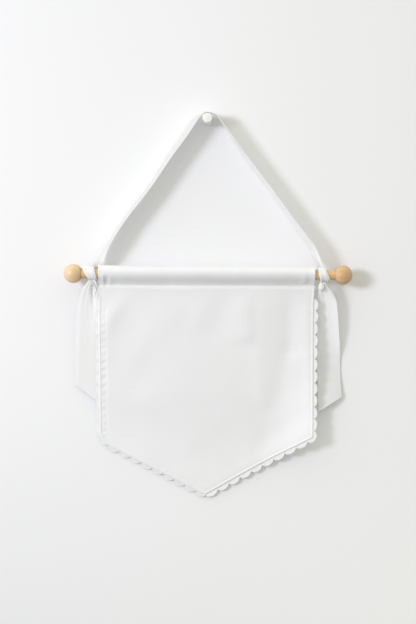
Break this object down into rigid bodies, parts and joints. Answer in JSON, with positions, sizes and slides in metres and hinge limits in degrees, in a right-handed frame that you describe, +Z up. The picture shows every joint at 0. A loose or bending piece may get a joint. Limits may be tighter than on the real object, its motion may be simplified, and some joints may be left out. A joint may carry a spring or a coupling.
{
  "type": "pennant banner on a wooden rod with ribbon hanger and wall peg",
  "caption": "Blank cotton pennant with a scalloped trim, hung from a wooden rod by a knotted ribbon over a round wall peg.",
  "frame": {"origin": "centre of the wall peg's flat back face, on the wall plane", "axes": "+X to the right as seen from the front, +Y into the wall, +Z up; the object is in front of the wall, at negative Y"},
  "size_m": [0.2853, 0.028, 0.3825],
  "materials": {
    "cotton": "white plain-weave cotton, matte",
    "trim_tape": "white woven scalloped tape, matte",
    "wood": "pale beech, lightly waxed",
    "ribbon": "white flat cotton ribbon",
    "peg_paint": "satin white paint"
  },
  "bodies": {
    "root": {"panel": "cotton", "trim": "trim_tape", "rod": "wood", "ball_left": "wood", "ball_right": "wood", "ribbon": "ribbon", "peg": "peg_paint"}
  },
  "joints": []
}
